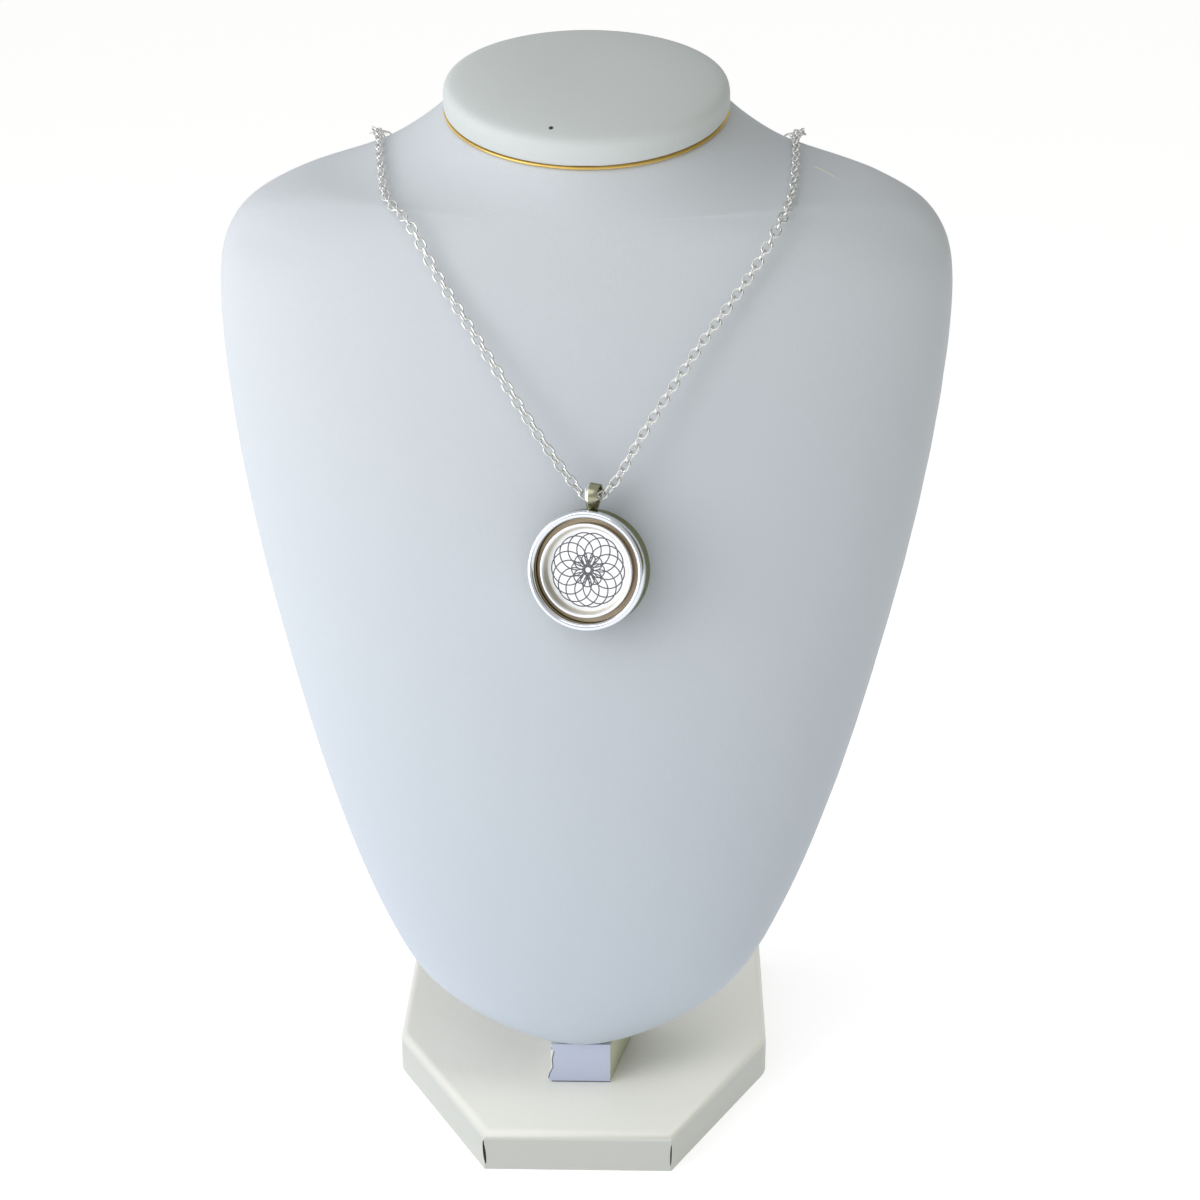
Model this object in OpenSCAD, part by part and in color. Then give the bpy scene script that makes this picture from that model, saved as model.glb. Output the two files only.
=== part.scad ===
// Disc pendant on a link chain, shown on a padded neck bust with its own stand.
// Millimetres. Z points up, the front faces -Y, and the stand rests on Z = 0.

/* [Base] */
// Width across the straight sides
base_w = 102.2; // [90:0.2:130]
// Depth from the front edge to the back edge
base_d = 118; // [104:1:140]
// Length of the straight front edge
base_front = 49; // [35:1:70]
// How far back the slanting front corners reach
base_corner = 52; // [35:1:60]
// Thickness of the plate
base_t = 11; // [8:0.5:16]
// Rounding of the upper edge
base_r = 2.5; // [1:0.5:4]

/* [Post] */
// Width of the front face
post_w = 16; // [12:1:20]
// Depth of the post
post_d = 32; // [24:1:36]
// Height of the post between the base and the bust
post_h = 11; // [9:1:30]
// How much further to the right the back of the post stands
post_skew = 7; // [0:1:9]
// Distance of the post from the front edge of the base
post_set = 26.5; // [20:0.5:34]

/* [Bust] */
// Width across the shoulders
bust_w = 196; // [180:1:220]
// Height from the lower tip to the top of the neck
bust_h = 239; // [220:1:260]
// Thickness from front to back at the shoulders
bust_d = 57.5; // [54:0.5:66]
// Distance of the bust's middle from the front of the post
bust_set = 32.5; // [30:0.5:35]

/* [Neck cap] */
// Overhang of the padded cap past the neck
cap_over = 0.6; // [0.3:0.1:3]
// Height of the cap at its rim
cap_t = 8; // [6:0.5:12]
// Rise of the padding in the middle of the cap
cap_dome = 2.5; // [1:0.5:5]
// Thickness of the gold trim under the cap
trim_t = 0.9; // [0.7:0.1:2]

/* [Chain] */
// Outer length of one link
link_l = 3.7; // [3.5:0.1:4.2]
// Outer width of one link
link_w = 2.85; // [2.7:0.05:3]
// Thickness of the link wire
wire_d = 0.55; // [0.45:0.05:0.6]
// Play between two linked links
link_play = 0.15; // [0.12:0.01:0.2]

/* [Pendant] */
// Diameter of the disc
pendant_d = 30.6; // [28:0.1:34]
// Thickness from the back to the crest of the front ring
pendant_t = 8; // [7:0.1:8.6]
// Width of the outer ring
ring_w = 1.9; // [1.4:0.05:2.2]
// Width of the dark channel inside the outer ring
channel_w = 1.3; // [0.9:0.05:1.6]
// Width of the inner ring
inner_w = 1; // [0.6:0.05:1.2]
// Depth of the engraved floor below the crest
recess = 3.3; // [2.5:0.1:3.6]
// Angle by which the disc is turned to its left
turn = 13; // [0:0.5:15]
// Angle by which the disc leans back with the chest
lean = 12; // [11:0.5:14]

/* [Engraving] */
// Diameter of the engraved rosette
rosette_d = 19.6; // [14:0.2:20]
// Number of large rings around the rosette
rosette_n = 14; // [8:1:18]
// Width of an engraved line
line_w = 0.3; // [0.2:0.05:0.4]
// Depth of an engraved line
line_t = 0.2; // [0.1:0.05:0.4]

/* [Hidden] */
$fn = 48;

// Cross sections of the bust from its lower tip to the neck: height and place of the middle as
// shares of bust_h, half width as a share of bust_w, reach forward and back as shares of
// bust_d, and tilt in degrees.
SECTIONS = [
    [0,     -0.084, 0.046, 0.19,  0.21,   0],
    [0.008, -0.092, 0.091, 0.235, 0.31,   0],
    [0.03,  -0.1,   0.147, 0.245, 0.47,   0],
    [0.067, -0.1,   0.207, 0.26,  0.54,   0],
    [0.117, -0.084, 0.254, 0.33,  0.48,   0],
    [0.2,   -0.05,  0.309, 0.45,  0.4,    0],
    [0.305, -0.015, 0.36,  0.54,  0.35,   0],
    [0.41,   0.015, 0.401, 0.59,  0.35,   0],
    [0.535,  0.05,  0.444, 0.625, 0.35,   0],
    [0.66,   0.084, 0.477, 0.617, 0.38,   0],
    [0.765,  0.113, 0.495, 0.583, 0.42,   0],
    [0.83,   0.13,  0.498, 0.547, 0.452,  0],
    [0.87,   0.142, 0.489, 0.536, 0.47,   3],
    [0.9,    0.151, 0.465, 0.535, 0.47,   6],
    [0.918,  0.157, 0.432, 0.544, 0.47,   9],
    [0.931,  0.163, 0.391, 0.566, 0.47,  12],
    [0.939,  0.167, 0.345, 0.583, 0.47,  14],
    [0.952,  0.172, 0.289, 0.595, 0.478, 16],
    [0.975,  0.176, 0.234, 0.582, 0.487, 18],
    [1,      0.178, 0.191, 0.554, 0.497, 20]
];
AROUND = 48;   // points around a section
BETWEEN = 2;   // steps from one section to the next
NECK = len(SECTIONS) - 1;

// Course of half the chain over the bust, from the bail to the middle of the back:
// section, angle from the front, lift off the surface, share of the sideways shift.
COURSE = [
    [ 8.8,    0,   7.9, 1],
    [ 8.93,   3,   7.6, 1],
    [ 9.4,    8.1, 6.6, 0.7],
    [10.2,   15.6, 4.4, 0.65],
    [11.5,   23.3, 3.2, 0.8],
    [14,     31.8, 4.5, 0.8],
    [16.8,   53,   6.6, 0.3],
    [17.5,   75,   5.4, 0.15],
    [17.4,  100,   4.4, 0],
    [16.4,  122,   4.2, 0],
    [14.3,  150,   3,   0],
    [13,    180,   3.3, 0]
];
shift_x = 3.4; // the pendant hangs a little to the right of the middle

gap = 0.05;
corner_r = base_r + 1;    // rounding of the base's upright corners
post_y = post_set - base_d / 2;
bust_y = post_y + bust_set;
bust_z = base_t + post_h + gap;

pitch = link_l - 2 * wire_d - link_play;
clasp_l = 7;
clasp_w = 5;
clasp_wire = 1.1;
clasp_reach = (clasp_l + link_l) / 2 - clasp_wire - wire_d - link_play;

disc_r = pendant_d / 2;
crest_z = pendant_t / 2;
split_z = crest_z - 2.2;
floor_z = crest_z - recess;
bore_r = disc_r - ring_w;
inner_r = bore_r - channel_w;
floor_r = inner_r - inner_w - 0.65;
bail_r = 2.35;
bail_t = 0.6;
bail_w = 3.8;
bail_rise = 0.8;    // how far the middle of the bail's hole lies above the chain
bail_back = 1.1;    // the bail sits behind the middle of the disc
bail_foot = 0.5;    // from the bail's loop to the disc
hang = disc_r + bail_foot + bail_t + bail_r - bail_rise;

// Smooth curve through four points, between the second and the third
function curve(a, b, c, d, t) =
    (2 * b + (c - a) * t + (2 * a - 5 * b + 4 * c - d) * t * t + (3 * b - a - 3 * c + d) * t * t * t) / 2;

// Cross section of the bust at any position between the listed ones, in its real size
function section(u) =
    let (i = min(floor(u), NECK - 1),
         s = curve(SECTIONS[max(i - 1, 0)], SECTIONS[i], SECTIONS[i + 1],
                   SECTIONS[min(i + 2, NECK)], u - i))
    [s[0] * bust_h + bust_z, s[1] * bust_h + bust_y, s[2] * bust_w,
     s[3] * bust_d, s[4] * bust_d, s[5]];

// Point of a section at an angle from the front, grown outward and raised along its normal
function rim_point(s, angle, grow = 0, rise = 0) =
    let (reach = (cos(angle) > 0 ? s[3] : s[4]) + grow, v = -reach * cos(angle))
    [(s[2] + grow) * sin(angle),
     s[1] + v * cos(s[5]) - rise * sin(s[5]),
     s[0] + v * sin(s[5]) + rise * cos(s[5])];

function rim(s, grow = 0, rise = 0) =
    [for (k = [0:AROUND - 1]) rim_point(s, 360 * k / AROUND, grow, rise)];

// Closed body through a list of rims, from the lowest to the highest
module skin(rims) {
    n = len(rims[0]);
    last = len(rims) - 1;
    points = [for (r = rims) for (p = r) p];
    sides = [for (j = [0:last - 1]) for (k = [0:n - 1]) let (a = j * n + k, b = j * n + (k + 1) % n)
             each [[a, a + n, b], [b, a + n, b + n]]];
    ends = [[for (k = [0:n - 1]) k], [for (k = [n - 1:-1:0]) last * n + k]];
    polyhedron(points, concat(sides, ends), convexity = 4);
}

function unit(v) = v / norm(v);

// Corners of a convex outline moved inward by a margin
function inset(p, m) =
    [for (i = [0:len(p) - 1])
        let (a = unit(p[i] - p[(i + len(p) - 1) % len(p)]), b = unit(p[(i + 1) % len(p)] - p[i]))
        p[i] + m * (b - a) / (a[0] * b[1] - a[1] * b[0])];

// Outline of the base at a height, its upright corners rounded, moved inward by a margin
function base_rim(margin, z) =
    let (w = base_w / 2, d = base_d / 2, f = base_front / 2,
         outline = [[-f, -d], [f, -d], [w, base_corner - d], [w, d], [-w, d], [-w, base_corner - d]],
         slant = atan2(base_corner, w - f),
         facing = [[-90 - slant, -90], [-90, slant - 90], [slant - 90, 0], [0, 90], [90, 180],
                   [180, 270 - slant]],
         middle = inset(outline, corner_r))
    [for (i = [0:5]) for (k = [0:4])
        let (t = facing[i][0] + (facing[i][1] - facing[i][0]) * k / 4)
        [middle[i][0] + (corner_r - margin) * cos(t), middle[i][1] + (corner_r - margin) * sin(t), z]];

module base() {
    skin(concat([base_rim(0, 0)],
                [for (t = [0:22.5:90]) base_rim(base_r * (1 - cos(t)), base_t - base_r * (1 - sin(t)))]));
}

module post() {
    translate([0, post_y, base_t + gap])
        linear_extrude(post_h - gap)
            polygon([[-post_w / 2, 0], [post_w / 2, 0],
                     [post_w / 2 + post_skew, post_d], [-post_w / 2, post_d]]);
}

module bust() {
    skin([for (j = [0:NECK * BETWEEN]) rim(section(j / BETWEEN))]);
}

module neck_trim() {
    s = section(NECK);
    skin([rim(s, -0.6, gap), rim(s, 0.2, gap), rim(s, 0.6, 0.35 * trim_t), rim(s, 0.6, 0.7 * trim_t),
          rim(s, 0.2, trim_t), rim(s, -0.6, trim_t)]);
}

module neck_cap() {
    s = section(NECK);
    z = trim_t + gap;
    top = z + cap_t;
    g = cap_over;
    w = s[2];
    skin([rim(s, g - 0.6, z), rim(s, g - 0.1, z + 0.5), rim(s, g, z + 1.5), rim(s, g, top - 3),
          rim(s, g - 0.9, top - 1), rim(s, g - 0.08 * w, top),
          rim(s, g - 0.24 * w, top + 0.5 * cap_dome), rim(s, g - 0.48 * w, top + 0.9 * cap_dome),
          rim(s, g - 0.69 * w, top + cap_dome)]);
}

// Knots of the chain's course on one side (1 right, -1 left), with an extra lift; those before
// the first and after the last lie on the other side
function knot(side, k, extra) =
    let (last = len(COURSE) - 1, i = abs(k), c = COURSE[i > last ? 2 * last - i : i],
         way = (k < 0) == (i > last) ? side : -side,
         p = rim_point(section(c[0]), c[1], c[2] + extra))
    [way * p[0] + c[3] * shift_x, p[1], p[2]];

function course(side, extra = 0) =
    [for (k = [0:len(COURSE) - 2]) for (t = [0:9])
        curve(knot(side, k - 1, extra), knot(side, k, extra), knot(side, k + 1, extra),
              knot(side, k + 2, extra), t / 10),
     knot(side, len(COURSE) - 1, extra)];

function lengths(path) =
    [for (i = 0, s = 0; i < len(path); s = s + norm(path[min(i + 1, len(path) - 1)] - path[i]), i = i + 1) s];

// Point of a path at a distance along it
function along(path, way, s) =
    [for (c = [0:2]) lookup(s, [for (i = [0:len(path) - 1]) [way[i], path[i][c]]])];

// Places a link between two points, its flat side turned by an angle about its length
module span(from, to, outward, angle) {
    x = unit(to - from);
    b = unit(cross(x, outward));
    n = cross(b, x);
    y = n * cos(angle) + b * sin(angle);
    z = cross(x, y);
    m = (from + to) / 2;
    multmatrix([[x[0], y[0], z[0], m[0]], [x[1], y[1], z[1], m[1]], [x[2], y[2], z[2], m[2]]]) children();
}

// Oval link of round wire, its length along X
module link(l, w, wire) {
    r = (w - wire) / 2;
    s = (l - w) / 2;
    for (e = [0, 180]) rotate([0, 0, e]) {
        translate([s, 0, 0]) rotate([0, 0, -90])
            rotate_extrude(angle = 180) translate([r, 0]) circle(d = wire);
        translate([-s, r, 0]) rotate([0, 90, 0]) cylinder(d = wire, h = 2 * s);
    }
}

// Links of one side, evenly spaced from the bail to the clasp
module chain(side, first) {
    path = course(side);
    lifted = course(side, 1);
    way = lengths(path);
    other = course(-side);
    total = way[len(way) - 1] - clasp_reach;
    count = 2 * ceil(total / pitch / 2);
    step = total / count;
    for (i = [first:count]) {
        a = i == 0 ? along(other, lengths(other), step / 2) : along(path, way, (i - 0.5) * step);
        b = along(path, way, (i + 0.5) * step);
        up = along(lifted, way, i * step) - along(path, way, i * step);
        span(a, b, up, i % 2 == (side > 0 ? 1 : 0) ? 45 : -45) link(link_l, link_w, wire_d);
    }
}

module chain_left() {
    chain(-1, 0);
}

module chain_right() {
    chain(1, 1);
}

module clasp() {
    end = knot(-1, len(COURSE) - 1, 0);
    span(end - [3, 0, 0], end + [3, 0, 0], [0, 1, 0], -45) link(clasp_l, clasp_w, clasp_wire);
}

// Moves from the pendant's own axes, where the chain passes through the origin
module hung() {
    translate(knot(1, 0, 0)) rotate([0, 0, -turn]) rotate([-lean, 0, 0]) children();
}

// Disc axes inside the pendant: X right, Y up, Z out of the front
module disc() {
    translate([0, -bail_back, -hang]) rotate([90, 0, 0]) children();
}

// Drop-shaped loop around the chain, narrower towards the disc
module bail() {
    r = bail_r + bail_t;
    foot = r + bail_foot + 0.6;
    translate([0, 0, bail_rise]) intersection() {
        rotate([0, 90, 0]) linear_extrude(bail_w + 1, center = true) difference() {
            union() {
                circle(r = r);
                polygon([[0.5 * r, -0.86 * r], [foot, -0.7], [foot, 0.7], [0.5 * r, 0.86 * r]]);
            }
            circle(r = bail_r);
        }
        rotate([90, 0, 0]) linear_extrude(3 * r, center = true)
            polygon([[-1, -foot - 0.5], [1, -foot - 0.5], [bail_w / 2, r + 0.5], [-bail_w / 2, r + 0.5]]);
    }
}

// Round back shell with the bail soldered to its rim
module pendant_case() {
    r = disc_r - 0.1;
    hung() {
        disc() rotate_extrude($fn = 96) difference() {
            union() {
                translate([0, -crest_z]) square([r - 0.9, split_z - gap + crest_z]);
                translate([0, 0.9 - crest_z]) square([r, split_z - gap - 0.9 + crest_z]);
                translate([r - 0.9, 0.9 - crest_z]) circle(r = 0.9);
            }
            translate([-1, floor_z - 1.8]) square([bore_r + 1, pendant_t]);
        }
        bail();
    }
}

// Polished ring around the front
module bezel_ring() {
    hung() disc() rotate_extrude($fn = 96) {
        translate([bore_r, split_z]) square([ring_w, crest_z - split_z - ring_w / 2]);
        translate([disc_r - ring_w / 2, crest_z - ring_w / 2]) circle(d = ring_w);
    }
}

// Thin engraved ring
module line_ring(r) {
    difference() {
        circle(r = r + line_w / 2);
        circle(r = r - line_w / 2);
    }
}

// Engraved rosette: large overlapping rings, a daisy of small ones and a scalloped edge
module rosette() {
    big = rosette_d * 0.22;
    for (k = [0:rosette_n - 1]) rotate(360 * k / rosette_n)
        translate([rosette_d / 2 - big - line_w, 0]) line_ring(big);
    for (k = [0:7]) rotate(45 * k) translate([rosette_d * 0.13, 0]) line_ring(rosette_d * 0.09);
    line_ring(rosette_d * 0.045);
}

// Inlaid disc with an inner ring, a sloping wall and the engraved floor
module medallion() {
    low = floor_z - 1.8 + gap;
    top = crest_z - 0.8;
    hung() disc() difference() {
        rotate_extrude($fn = 96) {
            translate([0, low]) square([bore_r - gap, 1.5]);
            translate([0, low]) square([inner_r - 0.1, floor_z - low]);
            polygon([[floor_r - 0.5, low + 1], [inner_r, low + 1], [inner_r, top - inner_w / 2],
                     [inner_r - inner_w, top - inner_w / 2], [floor_r, floor_z], [floor_r - 0.5, floor_z]]);
            translate([inner_r - inner_w / 2, top - inner_w / 2]) circle(d = inner_w);
        }
        translate([0, 0, floor_z - line_t]) linear_extrude(1) rosette();
    }
}

color("ivory") base();
color("lavender") post();
color("whitesmoke") bust();
color("goldenrod") neck_trim();
color("white") neck_cap();
color("silver") chain_left();
color("silver") chain_right();
color("silver") clasp();
color("darkgray") pendant_case();
color("lightgray") bezel_ring();
color("gainsboro") medallion();
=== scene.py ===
"""Silver disc pendant on a link chain, shown on a white padded neck bust with its own foot.

Metres. Z is up, the front faces -Y, and the foot stands on Z = 0.
"""

import math

import bmesh
import bpy
import numpy as np
from mathutils import Matrix, Vector


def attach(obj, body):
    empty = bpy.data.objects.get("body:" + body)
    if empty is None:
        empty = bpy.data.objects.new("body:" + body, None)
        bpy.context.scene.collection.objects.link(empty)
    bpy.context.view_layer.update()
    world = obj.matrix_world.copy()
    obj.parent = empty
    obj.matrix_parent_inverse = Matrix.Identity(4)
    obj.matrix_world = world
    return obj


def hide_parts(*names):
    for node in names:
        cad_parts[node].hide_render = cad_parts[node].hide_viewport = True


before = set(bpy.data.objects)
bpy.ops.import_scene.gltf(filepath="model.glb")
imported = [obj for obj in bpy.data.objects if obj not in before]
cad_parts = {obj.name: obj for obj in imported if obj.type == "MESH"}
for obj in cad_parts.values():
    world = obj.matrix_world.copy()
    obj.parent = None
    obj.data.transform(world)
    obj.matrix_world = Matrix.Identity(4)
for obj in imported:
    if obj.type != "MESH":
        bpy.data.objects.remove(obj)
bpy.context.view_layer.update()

# Foot plate. A board in the shape of a coffin lid, 11 mm thick, covered with white leatherette
# that is pulled over the upper edge and cut at the two front corners, where it stands open a little.

MM = 0.001


def piece(name, mesh, body, slot, *nodes):
    """Gives a finished bmesh its object, its body and the CAD nodes that it stands for; its finish (slot) is
    not used.
    """
    data = bpy.data.meshes.new(name)
    mesh.to_mesh(data)
    mesh.free()
    obj = bpy.data.objects.new(name, data)
    bpy.context.scene.collection.objects.link(obj)
    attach(obj, body)
    if nodes:
        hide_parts(*nodes)
    return obj


def dress(obj, material, sharp=35):
    """Puts one material on a piece and shades it smooth, with an edge where faces meet steeply."""
    obj.data.materials.clear()
    obj.data.materials.append(material)
    for face in obj.data.polygons:
        face.use_smooth = True
    obj.data.set_sharp_from_angle(angle=math.radians(sharp))


def leatherette(name, colour, shade, roughness=0.55, grain=0.35):
    """Coated cloth: a fine pebbled grain, and slow clouds of a slightly darker shade."""
    mat = bpy.data.materials.new(name)
    mat.use_nodes = True
    nodes, link = mat.node_tree.nodes, mat.node_tree.links.new
    bsdf = nodes["Principled BSDF"]
    bsdf.inputs["Roughness"].default_value = roughness
    bsdf.inputs["Specular IOR Level"].default_value = 0.4
    place = nodes.new("ShaderNodeTexCoord")
    clouds = nodes.new("ShaderNodeTexNoise")
    clouds.inputs["Scale"].default_value = 14
    clouds.inputs["Detail"].default_value = 3
    tint = nodes.new("ShaderNodeMix")
    tint.data_type = "RGBA"
    tint.inputs["A"].default_value = (*colour, 1)
    tint.inputs["B"].default_value = (*shade, 1)
    pebbles = nodes.new("ShaderNodeTexVoronoi")
    pebbles.inputs["Scale"].default_value = 1100
    creases = nodes.new("ShaderNodeTexNoise")
    creases.inputs["Scale"].default_value = 500
    creases.inputs["Detail"].default_value = 4
    relief = nodes.new("ShaderNodeMath")
    relief.operation = "ADD"
    bump = nodes.new("ShaderNodeBump")
    bump.inputs["Strength"].default_value = grain
    bump.inputs["Distance"].default_value = 0.00008
    for texture in (clouds, pebbles, creases):
        link(place.outputs["Object"], texture.inputs["Vector"])
    link(clouds.outputs["Fac"], tint.inputs["Factor"])
    link(tint.outputs["Result"], bsdf.inputs["Base Color"])
    link(pebbles.outputs["Distance"], relief.inputs[0])
    link(creases.outputs["Fac"], relief.inputs[1])
    link(relief.outputs["Value"], bump.inputs["Height"])
    link(bump.outputs["Normal"], bsdf.inputs["Normal"])
    return mat


def painted_shade_below(mat, colour, low, high):
    """Paints shade: fades a finish to another colour below a height, fully from low down (m)."""
    nodes, link = mat.node_tree.nodes, mat.node_tree.links.new
    base_colour = nodes["Principled BSDF"].inputs["Base Color"]
    split = nodes.new("ShaderNodeSeparateXYZ")
    fade = nodes.new("ShaderNodeMapRange")
    fade.inputs["From Min"].default_value = low
    fade.inputs["From Max"].default_value = high
    other = nodes.new("ShaderNodeMix")
    other.data_type = "RGBA"
    other.inputs["A"].default_value = (*colour, 1)
    link(nodes["Texture Coordinate"].outputs["Object"], split.inputs["Vector"])
    link(split.outputs["Z"], fade.inputs["Value"])
    link(fade.outputs["Result"], other.inputs["Factor"])
    link(base_colour.links[0].from_socket, other.inputs["B"])
    link(other.outputs["Result"], base_colour)


def points_of(result):
    """The vertices that a bmesh operator has just made."""
    return [v for v in result["geom"] if isinstance(v, bmesh.types.BMVert)]


BASE_W, BASE_D, BASE_FRONT, BASE_CORNER, BASE_T = 0.1022, 0.118, 0.049, 0.052, 0.011
BASE_CORNER_R, BASE_EDGE_R = 2.4 * MM, 2.3 * MM
BASE_TOP_WHITE, BASE_SIDE_SHADE = (0.82, 0.815, 0.77), (0.51, 0.525, 0.50)
base_outline = [(-BASE_FRONT / 2, -BASE_D / 2), (BASE_FRONT / 2, -BASE_D / 2),
                (BASE_W / 2, BASE_CORNER - BASE_D / 2), (BASE_W / 2, BASE_D / 2),
                (-BASE_W / 2, BASE_D / 2), (-BASE_W / 2, BASE_CORNER - BASE_D / 2)]
bm = bmesh.new()
corners = [bm.verts.new((x, y, 0)) for x, y in base_outline]
bm.faces.new(corners)
bmesh.ops.bevel(bm, geom=corners[2:], offset=BASE_CORNER_R, affect="VERTICES", segments=5, profile=0.5,
                material=-1)
side = bmesh.ops.extrude_face_region(bm, geom=bm.faces[:])
bmesh.ops.translate(bm, vec=(0, 0, BASE_T), verts=points_of(side))
bmesh.ops.recalc_face_normals(bm, faces=bm.faces[:])
rim = [e for e in bm.edges if min(v.co.z for v in e.verts) > BASE_T - 0.01 * MM]
bmesh.ops.bevel(bm, geom=rim, offset=BASE_EDGE_R, affect="EDGES", segments=6, profile=0.5, material=-1)
base = piece("foot_plate", bm, "stand", "base_cover", "base")
base_cover = leatherette("base_leatherette", BASE_TOP_WHITE, (0.80, 0.80, 0.755), roughness=0.36, grain=0.3)
# Painted shade: the sides of the foot plate are a darker grey than its top, as less light falls on them.
painted_shade_below(base_cover, BASE_SIDE_SHADE, BASE_T - 2.4 * MM, BASE_T - 0.4 * MM)
dress(base, base_cover, 50)


def matte(name, colour, roughness=0.8):
    """Plain dull surface."""
    mat = bpy.data.materials.new(name)
    mat.use_nodes = True
    bsdf = mat.node_tree.nodes["Principled BSDF"]
    bsdf.inputs["Base Color"].default_value = (*colour, 1)
    bsdf.inputs["Roughness"].default_value = roughness
    return mat


# Painted shade: the open corners are near-black shapes that stand for the dark inside the cuts.
SLIT_IN, SLIT_BACK, SLIT_Z = 0.1 * MM, 0.24 * MM, 4.6 * MM
SLIT_D, SLIT_H = 0.4, 3.9
# Each slit is a sphere of 1 mm, stretched to these half sizes in millimetres.
slits = bmesh.new()
for sign, half_w, tilt in ((-1, 0.42, 5), (1, 0.24, -1)):
    slit = bmesh.ops.create_uvsphere(slits, u_segments=16, v_segments=12, radius=1 * MM)["verts"]
    place = (Matrix.Translation((sign * (BASE_FRONT / 2 - SLIT_IN), SLIT_BACK - BASE_D / 2, SLIT_Z))
             @ Matrix.Rotation(math.radians(-tilt), 4, "Y"))
    bmesh.ops.transform(slits, matrix=place @ Matrix.Diagonal((half_w, SLIT_D, SLIT_H, 1)), verts=slit)
slits = piece("open_corners", slits, "stand", "base_cover")
dress(slits, matte("corner_slit_shade", (0.012, 0.009, 0.008)), 180)

# Post. A block of white board glued on the foot plate, its right side cut slanting. Smooth paper is
# glued on its front; the paper's left edge is torn and stands off a little, with a dark line under it.

POST_W, POST_D, POST_H, POST_SKEW, POST_SET = 0.016, 0.032, 0.011, 0.007, 0.0265
PAPER_EDGE, PAPER_FOOT, PAPER_TOP = 8, 0.35, 11.5
TORN = [(-8.3, PAPER_FOOT), (-8.5, 1), (-8.2, 2.4), (-7.3, 4.3), (-7.45, 6.9), (-6.95, 9.3), (-7.6, 9.7),
        (-8, PAPER_TOP)]

post_front = POST_SET - BASE_D / 2
post_back = post_front + POST_D
bm = bmesh.new()
post_plan = [(-POST_W / 2, post_front), (POST_W / 2, post_front),
             (POST_W / 2 + POST_SKEW, post_back), (-POST_W / 2, post_back)]
bm.faces.new([bm.verts.new((x, y, BASE_T)) for x, y in post_plan])
side = bmesh.ops.extrude_face_region(bm, geom=bm.faces[:])
bmesh.ops.translate(bm, vec=(0, 0, POST_H), verts=points_of(side))
bmesh.ops.recalc_face_normals(bm, faces=bm.faces[:])
bmesh.ops.bevel(bm, geom=[e for e in bm.edges if e.calc_face_angle() > 0.5], offset=0.25 * MM, affect="EDGES",
                segments=2, profile=0.5, material=-1)
post = piece("post_block", bm, "stand", "post_cover", "post")
dress(post, leatherette("white_board", (0.86, 0.86, 0.84), (0.82, 0.82, 0.80), grain=0.15), 30)
# Painted shade: the slanting right side gets a darker olive copy of the white board's finish.
post.data.materials.append(leatherette("post_side_shade", (0.60, 0.61, 0.44), (0.66, 0.67, 0.52), grain=0.15))
for face in post.data.polygons:
    face.material_index = int(face.normal.x > 0.8)


def sheet_of(outlines, thickness, stand_off=0.0):
    """Thin sheets on the front of the post, from outlines of (x, height over the foot plate) in mm."""
    bm = bmesh.new()
    for outline in outlines:
        flat = bm.faces.new([bm.verts.new((x * MM, post_front - stand_off * MM, BASE_T + z * MM))
                             for x, z in outline])
        out = bmesh.ops.extrude_face_region(bm, geom=[flat])
        bmesh.ops.translate(bm, vec=(0, -thickness * MM, 0), verts=points_of(out))
    bmesh.ops.triangulate(bm, faces=[f for f in bm.faces if len(f.verts) > 4])
    bmesh.ops.recalc_face_normals(bm, faces=bm.faces[:])
    return bm


paper_outline = TORN + [(PAPER_EDGE, PAPER_TOP), (PAPER_EDGE, PAPER_FOOT)]
paper = piece("front_paper", sheet_of([paper_outline], 0.2, 0.04), "stand", "post_cover")
dress(paper, leatherette("post_paper", (0.57, 0.62, 0.78), (0.54, 0.59, 0.75), grain=0.15), 30)
tear = TORN[1:6]
beside_tear = tear + [(x - 0.28, z) for x, z in reversed(tear)]
under_paper = [(-7.8, 0), (PAPER_EDGE, 0), (PAPER_EDGE, PAPER_FOOT), (-7.8, PAPER_FOOT)]
nick = [(-7.95, 10.4), (-7.75, 9.6), (-7.5, 10.2), (-7.7, 10.7)]
gaps = piece("paper_gaps", sheet_of([beside_tear, under_paper, nick], 0.12), "stand", "post_cover")
dress(gaps, matte("gap_shade", (0.09, 0.10, 0.14)), 30)

# Neck bust. A pressed shell with thin foam, covered with white leatherette drawn tight over the
# chest, the shoulders and the neck.

EVEN_LOW, EVEN_HIGH, EVEN_REACH = 0.224, 0.252, 5 * MM
SIDEWAYS, FORWARD = 0.4, 0.7
RIM_LOW, RIM_ANGLE = 0.25, 0.5


def ironed(bm, low, high, reach):
    """Evens the front of a skin between two heights, each point onto the plane that fits those near it."""
    bm.normal_update()
    front = [v for v in bm.verts if low - reach < v.co.z < high + reach and -v.normal.y > SIDEWAYS / 2]
    before = np.array([v.co for v in front])
    spread = np.array([sum(f.calc_area() for f in v.link_faces) for v in front])
    for v, here in zip(front, before):
        off = before - here
        weight = np.sqrt(spread * np.exp(-(off[:, 0] / (2 * reach)) ** 2 - (off[:, 2] / reach) ** 2))
        slopes = np.stack([weight, weight * off[:, 0], weight * off[:, 2]], 1)
        plane = np.linalg.lstsq(slopes, weight * before[:, 1], rcond=None)[0]
        ease = min(1, (here[2] - low) / reach, (high - here[2]) / reach,
                   (-v.normal.y - SIDEWAYS) / (FORWARD - SIDEWAYS))
        v.co.y += max(0, ease) * (plane[0] - here[1])


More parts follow.
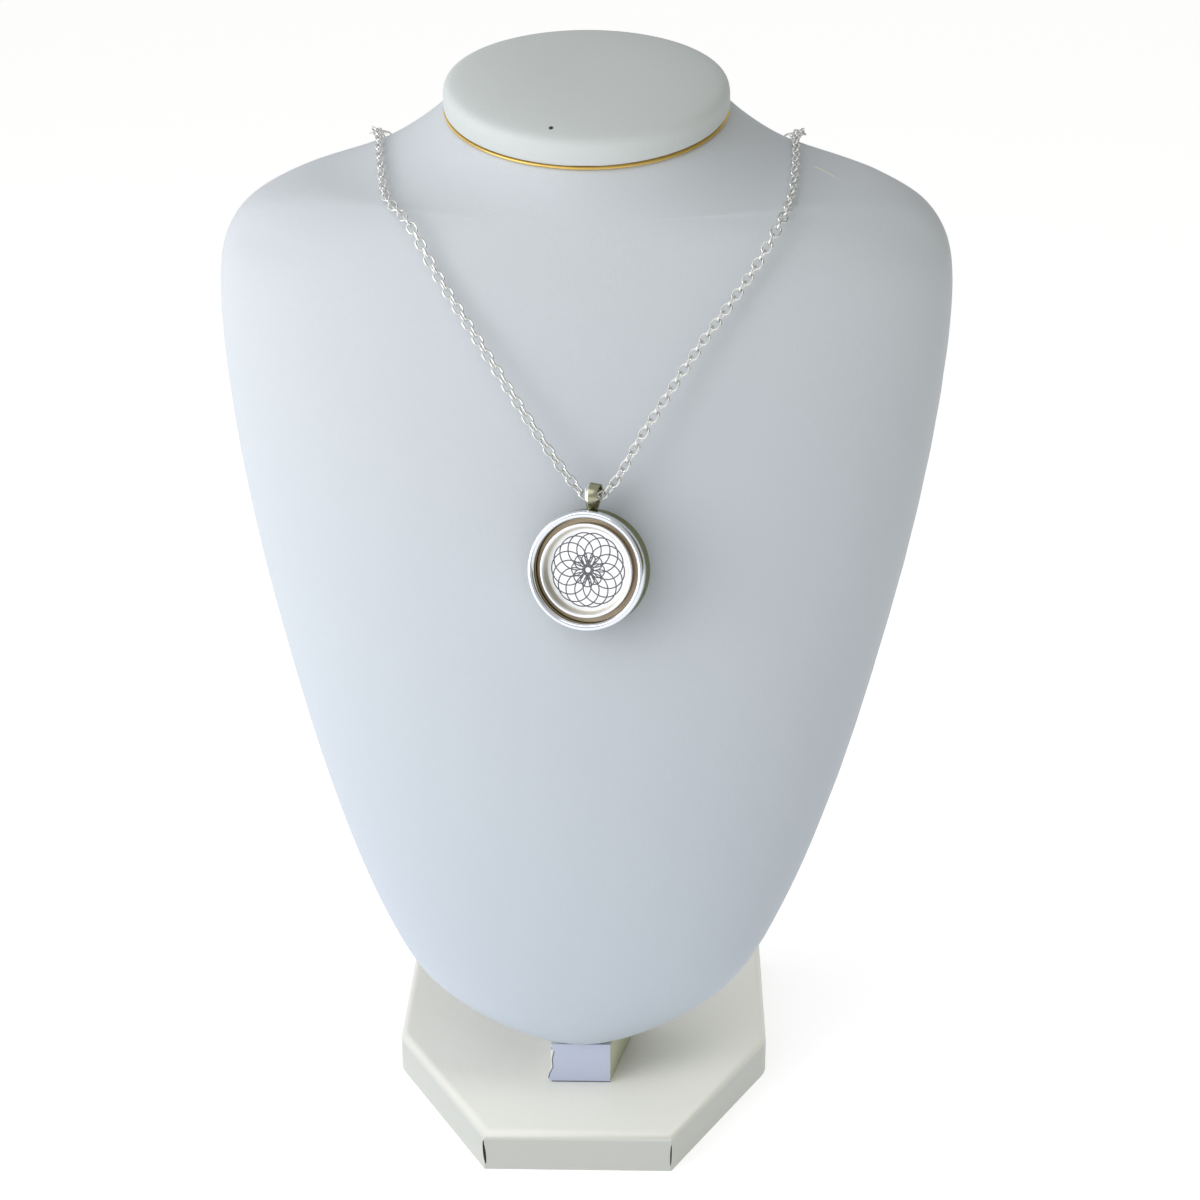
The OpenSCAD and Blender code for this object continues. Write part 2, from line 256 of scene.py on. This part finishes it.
def softened(node, name, body, slot, evened=False):
    """Smooth-skinned copy of a flat-faced CAD node; the bust is evened, and its upper rim stays sharp."""
    bm = bmesh.new()
    bm.from_mesh(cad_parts[node].data)
    bmesh.ops.remove_doubles(bm, verts=bm.verts[:], dist=1e-6)
    bmesh.ops.join_triangles(bm, faces=bm.faces[:], angle_face_threshold=math.radians(25),
                             angle_shape_threshold=math.radians(70))
    if evened:
        ironed(bm, EVEN_LOW, EVEN_HIGH, EVEN_REACH)
        crease = bm.edges.layers.float.new("crease_edge")
        for edge in bm.edges:
            if edge.calc_face_angle() > RIM_ANGLE and min(v.co.z for v in edge.verts) > RIM_LOW:
                edge[crease] = 1
    obj = piece(name, bm, body, slot, node)
    smooth = obj.modifiers.new("skin", "SUBSURF")
    smooth.levels = smooth.render_levels = 2
    return obj


bust_white = leatherette("bust_leatherette", (0.615, 0.645, 0.68), (0.595, 0.632, 0.676))
# Painted shade: the bust turns darker and bluer towards the bottom.
painted_shade_below(bust_white, (0.52, 0.575, 0.65), 0.03, 0.23)
bust = softened("bust", "neck_bust", "stand", "bust_cover", evened=True)
dress(bust, bust_white, 180)

# A small fold on the right shoulder: a real ridge, painted lighter than the bust as a painted highlight.
bm = bmesh.new()
fold_line = [(Vector(p) * MM, w * MM) for p, w in (
    ((58.4, 36.2, 247.2), 0.1), ((60.9, 35.6, 246.6), 0.35), ((63.0, 34.7, 245.8), 0.4),
    ((65.1, 33.2, 244.9), 0.35), ((67.1, 31.6, 244.0), 0.1))]
fold_ridge = [Vector(v) for v in ((-0.4, -0.9, -0.5), (0.15, -0.3, 0.9), (0.5, 0.6, -0.3))]
rows = [[bm.verts.new(p + w * v) for p, w in fold_line] for v in fold_ridge]
for low, high in zip(rows, rows[1:]):
    for i in range(len(fold_line) - 1):
        bm.faces.new((low[i], low[i + 1], high[i + 1], high[i]))
bmesh.ops.recalc_face_normals(bm, faces=bm.faces[:])
fold = piece("shoulder_fold", bm, "stand", "bust_cover")
dress(fold, leatherette("fold_highlight", (0.80, 0.79, 0.70), (0.76, 0.75, 0.66)), 180)

# Gold line and padded cap. A gilt cord is glued round the top of the neck, under an oval pad of
# thin foam in the same white leatherette.


def metal(name, colour, roughness, scratch=0.06, scale=900):
    """Polished or brushed metal with fine wear in its gloss and its surface."""
    mat = bpy.data.materials.new(name)
    mat.use_nodes = True
    nodes, link = mat.node_tree.nodes, mat.node_tree.links.new
    bsdf = nodes["Principled BSDF"]
    bsdf.inputs["Metallic"].default_value = 1
    bsdf.inputs["Base Color"].default_value = (*colour, 1)
    place = nodes.new("ShaderNodeTexCoord")
    wear = nodes.new("ShaderNodeTexNoise")
    wear.inputs["Scale"].default_value = scale
    wear.inputs["Detail"].default_value = 5
    gloss = nodes.new("ShaderNodeMapRange")
    gloss.inputs["To Min"].default_value = roughness * 0.7
    gloss.inputs["To Max"].default_value = roughness * 1.4
    bump = nodes.new("ShaderNodeBump")
    bump.inputs["Strength"].default_value = scratch
    bump.inputs["Distance"].default_value = 0.00003
    link(place.outputs["Object"], wear.inputs["Vector"])
    link(wear.outputs["Fac"], gloss.inputs["Value"])
    link(gloss.outputs["Result"], bsdf.inputs["Roughness"])
    link(wear.outputs["Fac"], bump.inputs["Height"])
    link(bump.outputs["Normal"], bsdf.inputs["Normal"])
    return mat


GILT_SHIFT, SHIFT_FULL_Y, SHIFT_END_Y = 0.35 * MM, 10 * MM, 30 * MM
DARK_DOT_AT = (-0.0083, 0.0142, 0.2606)

trim = softened("neck_trim", "gold_line", "stand", "gold_trim")
for v in trim.data.vertices:
    v.co.x += GILT_SHIFT * min(1, max(0, (SHIFT_END_Y - v.co.y) / (SHIFT_END_Y - SHIFT_FULL_Y)))
dress(trim, metal("gilt_cord", (0.80, 0.55, 0.16), 0.3), 180)
cap = softened("neck_cap", "neck_pad", "stand", "bust_cover")
cap_white = leatherette("cap_leatherette", (0.615, 0.648, 0.645), (0.60, 0.638, 0.638))
nodes, link = cap_white.node_tree.nodes, cap_white.node_tree.links.new
# A small black dot on the cap, fading out between 0.45 and 0.75 mm from its middle.
from_spot = nodes.new("ShaderNodeVectorMath")
from_spot.operation = "DISTANCE"
from_spot.inputs[1].default_value = DARK_DOT_AT
spot = nodes.new("ShaderNodeMapRange")
spot.inputs["From Min"].default_value = 0.45 * MM
spot.inputs["From Max"].default_value = 0.75 * MM
dark_dot = nodes.new("ShaderNodeMix")
dark_dot.data_type = "RGBA"
dark_dot.inputs["A"].default_value = (0.02, 0.02, 0.025, 1)
link(nodes["Texture Coordinate"].outputs["Object"], from_spot.inputs[0])
link(from_spot.outputs["Value"], spot.inputs["Value"])
link(spot.outputs["Result"], dark_dot.inputs["Factor"])
link(nodes["Principled BSDF"].inputs["Base Color"].links[0].from_socket, dark_dot.inputs["B"])
link(dark_dot.outputs["Result"], nodes["Principled BSDF"].inputs["Base Color"])
dress(cap, cap_white, 180)

# Chain and clasp. Oval links of round silver wire, each turned a quarter round from its
# neighbours, soldered shut and tumbled bright.

silver = metal("chain_silver", (0.80, 0.80, 0.78), 0.12)
for node in ("chain_left", "chain_right", "clasp"):
    dress(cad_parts[node], silver, 60)

# Pendant case and bail. The back shell is turned from silver, and the drop-shaped bail is bent from a tapered
# strip and soldered on its rim; both are an olive grey, part tarnish and part painted reflection of a dark
# olive room.

EYE, TURN, LEAN, HANG = (0.0034, -0.0250736, 0.1741209), 13, 12, 0.01795
BAIL_R, BAIL_T, BAIL_W, BAIL_RISE, BAIL_BACK, BAIL_FOOT = 0.00235, 0.0006, 0.0038, 0.0008, 0.0011, 0.0005
RIDGE_FROM, RIDGE_UP, LEFT_EDGE = 0.28, 0.28 * MM, 0.16
hung = (Matrix.Translation(EYE) @ Matrix.Rotation(math.radians(-TURN), 4, "Z")
        @ Matrix.Rotation(math.radians(-LEAN), 4, "X"))
disc = hung @ Matrix.Translation((0, -BAIL_BACK, -HANG)) @ Matrix.Rotation(math.radians(90), 4, "X")


def turned(outline, closed=True, steps=144):
    """Spins an outline of (radius, height, corner rounding) in millimetres round Z and rounds its corners."""
    bm = bmesh.new()
    points = [bm.verts.new((r * MM, 0, h * MM)) for r, h, _ in outline]
    edges = [bm.edges.new(pair) for pair in zip(points, points[1:])]
    if closed:
        edges.append(bm.edges.new((points[-1], points[0])))
    bmesh.ops.spin(bm, geom=points + edges, cent=(0, 0, 0), axis=(0, 0, 1), angle=2 * math.pi, steps=steps,
                   use_merge=True)
    bmesh.ops.remove_doubles(bm, verts=bm.verts[:], dist=1e-7)
    bmesh.ops.recalc_face_normals(bm, faces=bm.faces[:])
    for r, h, rounding in outline:
        if rounding:
            ring = [e for e in bm.edges if all(abs(v.co.z - h * MM) < 1e-6
                                               and abs(v.co.xy.length - r * MM) < 1e-6 for v in e.verts)]
            bmesh.ops.bevel(bm, geom=ring, offset=rounding * MM, affect="EDGES", segments=6, profile=0.5,
                            material=-1)
    return bm


case = turned([(0, -3.8, 0), (12.4, -3.8, 0), (12.8, -4, 0.1), (15.2, -4, 0.9), (15.2, 1.72, 0.16),
               (13.5, 1.72, 0), (13.5, -1.08, 0), (0, -1.08, 0)], closed=False)
bmesh.ops.transform(case, matrix=disc, verts=case.verts[:])
case = piece("case_shell", case, "pendant", "polished_silver", "pendant_case")
# Part tarnish, part painted reflection: the shell and the bail are a dark olive silver.
tarnish_and_reflection_silver = metal("tarnish_and_reflection_silver", (0.38, 0.375, 0.27), 0.22)
tarnish_and_reflection_silver.node_tree.nodes["Principled BSDF"].inputs["Specular Tint"].default_value = (0.55, 0.55, 0.40, 1)
dress(case, tarnish_and_reflection_silver, 30)

bm = bmesh.new()
reach = BAIL_R + BAIL_T / 2
toe = reach + BAIL_FOOT + 0.75 * MM
start = bm.verts.new((0, 0.87 * reach, -0.5 * reach))
bmesh.ops.spin(bm, geom=[start], cent=(0, 0, 0), axis=(1, 0, 0), angle=math.radians(240), steps=24)
for end in [v for v in bm.verts if len(v.link_edges) == 1]:
    bm.edges.new((end, bm.verts.new((0, math.copysign(0.4 * MM, end.co.y), -toe))))
last = bm.edges[:]
for share in (RIDGE_FROM, 1 - RIDGE_FROM):
    wide = bmesh.ops.extrude_edge_only(bm, edges=last)
    bmesh.ops.translate(bm, vec=(share * BAIL_W, 0, 0), verts=points_of(wide))
    last = [e for e in wide["geom"] if isinstance(e, bmesh.types.BMEdge) and e.is_boundary
            and abs(e.verts[0].co.x - e.verts[1].co.x) < 1e-7]
for v in bm.verts:
    if 0.1 * BAIL_W < v.co.x < 0.9 * BAIL_W:
        v.co.yz *= 1 + RIDGE_UP / reach
    v.co.x = (v.co.x - BAIL_W / 2) * (0.58 + 0.38 * (v.co.z + toe) / (reach + toe))
bmesh.ops.recalc_face_normals(bm, faces=bm.faces[:])
bmesh.ops.transform(bm, matrix=hung @ Matrix.Translation((0, 0, BAIL_RISE)), verts=bm.verts[:])
bail = piece("bail_strip", bm, "pendant", "polished_silver", "pendant_case")
thick = bail.modifiers.new("strip", "SOLIDIFY")
thick.thickness, thick.offset = BAIL_T, 0
eased = bail.modifiers.new("eased", "BEVEL")
eased.width, eased.segments = 0.13 * MM, 2
dress(bail, tarnish_and_reflection_silver, 40)
# Painted highlight: the left part of the bail is bright silver where it catches the window.
bail.data.materials.append(metal("bail_left_highlight", (0.86, 0.87, 0.88), 0.1))
for face in bail.data.polygons:
    face.material_index = int((hung.inverted() @ face.center).x < -LEFT_EDGE * BAIL_W)

# Polished ring. A turned ring with a full round crest is pressed on the front of the case; its
# inner wall, down in the channel, is brown: part tarnish that no polishing mop reaches, part painted
# reflection.


def darken_tarnish_and_reflection(mat, tone, inner, outer, low, high):
    """Darkens a metal of the pendant between two radii, below a height that fades from low to high (mm):
    tarnish, and painted reflection where it stands for the surroundings.
    """
    nodes, link = mat.node_tree.nodes, mat.node_tree.links.new
    base_colour = nodes["Principled BSDF"].inputs["Base Color"]
    place = nodes.new("ShaderNodeTexCoord")
    local = nodes.new("ShaderNodeMapping")
    local.vector_type = "TEXTURE"
    local.inputs["Location"].default_value = disc.to_translation()
    local.inputs["Rotation"].default_value = disc.to_euler()
    split = nodes.new("ShaderNodeSeparateXYZ")
    flat = nodes.new("ShaderNodeVectorMath")
    flat.operation = "MULTIPLY"
    flat.inputs[1].default_value = (1, 1, 0)
    radius = nodes.new("ShaderNodeVectorMath")
    radius.operation = "LENGTH"
    link(place.outputs["Object"], local.inputs["Vector"])
    link(local.outputs["Vector"], split.inputs["Vector"])
    link(local.outputs["Vector"], flat.inputs[0])
    link(flat.outputs["Vector"], radius.inputs[0])
    masks = []
    from_middle, height = radius.outputs["Value"], split.outputs["Z"]
    for source, start, stop in ((from_middle, inner, inner + 0.05), (from_middle, outer + 0.05, outer),
                                (height, high, low)):
        mask = nodes.new("ShaderNodeMapRange")
        mask.interpolation_type = "SMOOTHSTEP"
        mask.inputs["From Min"].default_value = start * MM
        mask.inputs["From Max"].default_value = stop * MM
        link(source, mask.inputs["Value"])
        masks.append(mask.outputs["Result"])
    both = nodes.new("ShaderNodeMath")
    both.operation = "MULTIPLY"
    link(masks[0], both.inputs[0])
    link(masks[1], both.inputs[1])
    area = nodes.new("ShaderNodeMath")
    area.operation = "MULTIPLY"
    link(both.outputs["Value"], area.inputs[0])
    link(masks[2], area.inputs[1])
    tint = nodes.new("ShaderNodeMix")
    tint.data_type = "RGBA"
    tint.inputs["B"].default_value = (*tone, 1)
    if base_colour.is_linked:
        link(base_colour.links[0].from_socket, tint.inputs["A"])
    else:
        tint.inputs["A"].default_value = base_colour.default_value
    link(area.outputs["Value"], tint.inputs["Factor"])
    link(tint.outputs["Result"], base_colour)
    return mat


TARNISH_AND_REFLECTION = (0.52, 0.44, 0.33)
ring = turned([(13.4, 1.8, 0.05), (15.3, 1.8, 0.16), (15.3, 4, 0.93), (13.4, 4, 0.93)])
bmesh.ops.transform(ring, matrix=disc, verts=ring.verts[:])
ring = piece("polished_ring", ring, "pendant", "polished_silver", "bezel_ring")
dress(ring, darken_tarnish_and_reflection(metal("polished_silver", (0.80, 0.83, 0.89), 0.1), TARNISH_AND_REFLECTION, 12.9, 13.6, 2.9, 3.5), 30)

# Medallion. A separate disc let into the case, with a thin bright ring round a sunk satin floor;
# its engraved rosette is darkened and the rest wiped clean. The channel outside the ring is brown, part
# tarnish and part painted reflection.

satin = metal("satin_silver", (0.93, 0.94, 0.97), 0.4, 0.12)
darken_tarnish_and_reflection(satin, TARNISH_AND_REFLECTION, 11.9, 13.5, 2.3, 2.9)
# Painted reflection: a beige band just inside the thin ring.
darken_tarnish_and_reflection(satin, (0.70, 0.66, 0.55), 10.45, 11.2, 2.3, 2.9)
darken_tarnish_and_reflection(satin, (0.15, 0.15, 0.16), -1, 10.2, 0.62, 0.68)
dress(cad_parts["medallion"], satin, 30)

# Studio: a pale floor in an even white room that is darker and olive to the right, one large soft
# window to the left, and a camera at the photograph's angle.

bm = bmesh.new()
bmesh.ops.create_grid(bm, x_segments=1, y_segments=1, size=12)
floor_data = bpy.data.meshes.new("floor")
bm.to_mesh(floor_data)
bm.free()
floor = bpy.data.objects.new("floor", floor_data)
bpy.context.scene.collection.objects.link(floor)
pale = bpy.data.materials.new("pale_floor")
pale.use_nodes = True
pale_bsdf = pale.node_tree.nodes["Principled BSDF"]
pale_bsdf.inputs["Base Color"].default_value = (0.62, 0.62, 0.62, 1)
pale_bsdf.inputs["Roughness"].default_value = 0.9
pale_bsdf.inputs["Specular IOR Level"].default_value = 0.1
pale_bsdf.inputs["Emission Color"].default_value = (1, 1, 1, 1)
pale_bsdf.inputs["Emission Strength"].default_value = 0.66
floor_data.materials.append(pale)

world = bpy.data.worlds.new("studio")
bpy.context.scene.world = world
world.use_nodes = True
sky, sky_link = world.node_tree.nodes, world.node_tree.links.new
direction = sky.new("ShaderNodeTexCoord")
facing = sky.new("ShaderNodeVectorMath")
facing.operation = "DOT_PRODUCT"
facing.inputs[1].default_value = (0.94, -0.17, 0.29)
room = sky.new("ShaderNodeValToRGB")
room.color_ramp.elements[0].position = 0.55
room.color_ramp.elements[0].color = (1.0, 1.0, 1.0, 1)
room.color_ramp.elements[1].position = 0.92
room.color_ramp.elements[1].color = (0.19, 0.20, 0.08, 1)
sky_link(direction.outputs["Generated"], facing.inputs[0])
sky_link(facing.outputs["Value"], room.inputs["Fac"])
sky_link(room.outputs["Color"], sky["Background"].inputs["Color"])
sky["Background"].inputs["Strength"].default_value = 0.58


def softbox(name, place, aim, size, power, colour):
    """Square area light that faces a point."""
    data = bpy.data.lights.new(name, "AREA")
    data.size, data.energy, data.color = size, power, colour
    lamp = bpy.data.objects.new(name, data)
    lamp.matrix_world = (Matrix.Translation(place)
                         @ (Vector(aim) - Vector(place)).to_track_quat("-Z", "Y").to_matrix().to_4x4())
    bpy.context.scene.collection.objects.link(lamp)
    return lamp


softbox("window", (-0.85, -0.55, 0.40), (0, 0, 0.12), 0.7, 3.9, (0.98, 1.0, 1.0))
softbox("side_window", (-0.9, 0.35, 0.5), (0, 0, 0.12), 0.7, 1.1, (0.98, 1.0, 1.0))
softbox("skylight", (-0.4, -0.6, 0.95), (0, 0, 0.12), 0.7, 1.7, (1.0, 1.0, 1.0))
foot_light = softbox("foot_light", (0.5, -0.15, 0.8), (0, 0, 0.01), 0.5, 2.4, (1.0, 0.99, 0.95))
foot_light.light_linking.receiver_collection = bpy.data.collections.new("foot_only")
foot_light.light_linking.receiver_collection.objects.link(base)

AZIMUTH, ELEVATION, DISTANCE = math.radians(1.3), math.radians(20), 0.7
TARGET = Vector((0.00465, -0.00606, 0.140))
away = Vector((math.sin(AZIMUTH) * math.cos(ELEVATION), -math.cos(AZIMUTH) * math.cos(ELEVATION),
               math.sin(ELEVATION)))
camera_data = bpy.data.cameras.new("camera")
camera_data.lens, camera_data.sensor_width = 79.8, 36
camera = bpy.data.objects.new("camera", camera_data)
camera.location = TARGET + DISTANCE * away
camera.rotation_euler = (math.pi / 2 - ELEVATION, 0, AZIMUTH)
bpy.context.scene.collection.objects.link(camera)
bpy.context.scene.camera = camera
bpy.context.scene.view_settings.view_transform = "Standard"
